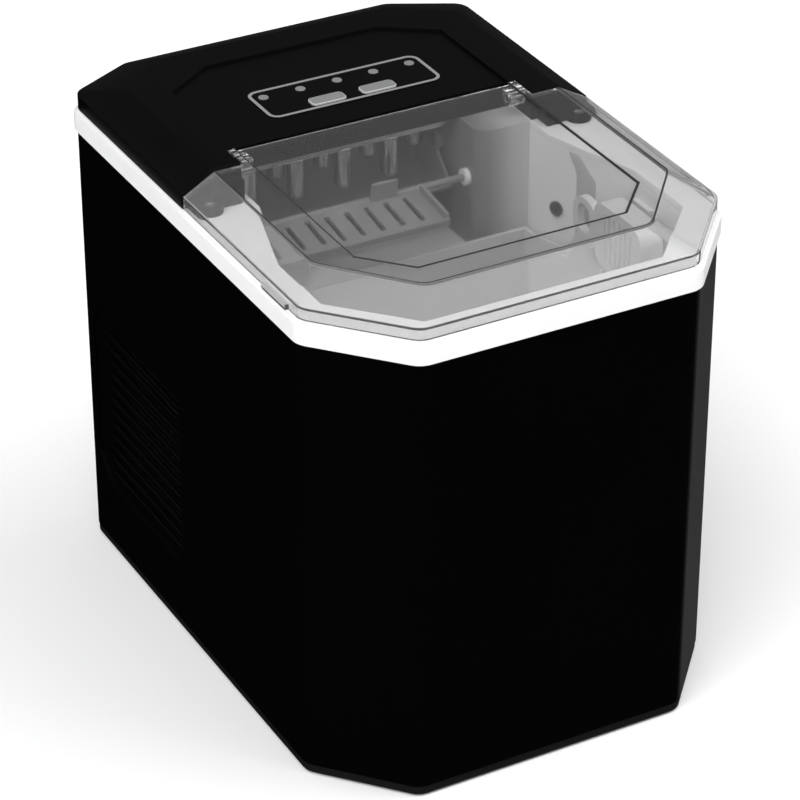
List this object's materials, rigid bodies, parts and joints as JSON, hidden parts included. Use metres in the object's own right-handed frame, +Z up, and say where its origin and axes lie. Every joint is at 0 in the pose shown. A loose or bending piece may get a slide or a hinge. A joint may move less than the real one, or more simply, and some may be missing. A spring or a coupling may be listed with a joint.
{
  "type": "countertop ice maker",
  "caption": "Octagonal black countertop ice maker with a white collar, a rear control cover and a hinged clear lid over an ice basket.",
  "frame": {"origin": "centre of the footprint on the surface that the feet rest on", "axes": "+Z up, front and lid edge towards -Y, rear cover and power inlet towards +Y, +X to the right seen from the front"},
  "size_m": [0.24, 0.33, 0.284],
  "materials": {
    "black_gloss": "high-gloss piano black",
    "black_plastic": "fine moulded",
    "cover_black": "fine spark-eroded texture",
    "overlay_black": "smooth film",
    "rubber": "matt",
    "white_plastic": "satin gloss",
    "print_grey": "printed line",
    "lamp_lens": "frosted lens",
    "circuit_board": "solder mask",
    "button_grey": "satin",
    "clear_smoke": "clear tinted plastic, polished",
    "steel": "plain",
    "screw_steel": "bright plated",
    "foam": "cut foam",
    "basket_grey": "satin",
    "tray_grey": "satin",
    "nickel": "nickel plated",
    "sensor_dark": "dark lens",
    "black_enamel": "black enamel",
    "fin_aluminium": "bare fins",
    "copper": "bare copper tube",
    "brass": "bare",
    "hose_clear": "silicone",
    "seal_red": "moulded"
  },
  "bodies": {
    "cabinet": {"housing_shell": "black_gloss", "rear_panel": "black_gloss", "base_pan": "black_plastic", "rubber_feet": "rubber", "rim_collar": "white_plastic", "top_cover": "cover_black", "control_overlay": "overlay_black", "panel_outline": "print_grey", "indicator_lamps": "lamp_lens", "control_board": "circuit_board", "tact_switches": "black_plastic", "hinge_pins": "steel", "cover_screws": "screw_steel", "case_screws": "screw_steel", "tank_liner": "white_plastic", "tank_insulation": "foam", "tray_pivot_pin": "steel", "shovel_bushes": "white_plastic", "evaporator_block": "nickel", "evaporator_fingers": "nickel", "evaporator_frame": "tray_grey", "gear_motor": "steel", "motor_housing": "tray_grey", "ice_sensors": "sensor_dark", "water_probe": "steel", "compressor": "black_enamel", "compressor_mounts": "rubber", "condenser": "fin_aluminium", "fan_shroud": "black_plastic", "fan_motor": "steel", "copper_pipes": "copper", "filter_drier": "copper", "gas_valve": "brass", "water_pump": "black_plastic", "pump_hose": "hose_clear", "vent_grille_left": "black_gloss", "vent_grille_right": "black_gloss", "cord_gland": "rubber", "power_board": "circuit_board", "drain_socket": "black_plastic", "drain_hose": "hose_clear"},
    "lid": {"lid": "clear_smoke"},
    "basket": {"ice_basket": "basket_grey"},
    "scoop": {"ice_scoop": "basket_grey"},
    "tray": {"water_tray": "tray_grey", "tray_shaft": "steel"},
    "shovel": {"ice_shovel": "tray_grey"},
    "on_off_button": {"button_on_off": "button_grey"},
    "select_button": {"button_select": "button_grey"},
    "fan": {"cooling_fan": "black_plastic"},
    "impeller": {"pump_impeller": "white_plastic"},
    "drain_stopper": {"drain_plug": "rubber", "plug_seal": "seal_red"}
  },
  "joints": [
    {"name": "lid_hinge", "type": "hinge", "parent": "cabinet", "child": "lid", "pos_m": [0, 0.021, 0.277], "axis": [-1, 0, 0], "range_deg": [0, 95]},
    {"name": "basket_lift", "type": "slide", "parent": "cabinet", "child": "basket", "axis": [0, 0, 1], "range_m": [0, 0.01]},
    {"name": "scoop_lift", "type": "slide", "parent": "basket", "child": "scoop", "axis": [0, 0, 1], "range_m": [0, 0.008]},
    {"name": "tray_tilt", "type": "hinge", "parent": "cabinet", "child": "tray", "pos_m": [0, 0.052, 0.246], "axis": [1, 0, 0], "range_deg": [-45, 0]},
    {"name": "shovel_tip", "type": "hinge", "parent": "cabinet", "child": "shovel", "pos_m": [0, 0.0225, 0.236], "axis": [1, 0, 0], "range_deg": [0, 10]},
    {"name": "on_off_press", "type": "slide", "parent": "cabinet", "child": "on_off_button", "axis": [0, 0, -1], "range_m": [0, 0.0008], "stiffness_N_per_m": 400, "springref_m": -0.0005},
    {"name": "select_press", "type": "slide", "parent": "cabinet", "child": "select_button", "axis": [0, 0, -1], "range_m": [0, 0.0008], "stiffness_N_per_m": 400, "springref_m": -0.0005},
    {"name": "fan_spin", "type": "hinge", "parent": "cabinet", "child": "fan", "pos_m": [-0.0805, 0.082, 0.092], "axis": [1, 0, 0], "continuous": true},
    {"name": "impeller_spin", "type": "hinge", "parent": "cabinet", "child": "impeller", "pos_m": [-0.04, -0.02, 0.03], "axis": [0, 0, 1], "continuous": true},
    {"name": "drain_plug_pull", "type": "slide", "parent": "cabinet", "child": "drain_stopper", "axis": [1, 0, 0], "range_m": [0, 0.018]}
  ],
  "couplings": [
    {"joint": "shovel_tip", "follows": "tray_tilt", "ratio": -0.22222}
  ]
}
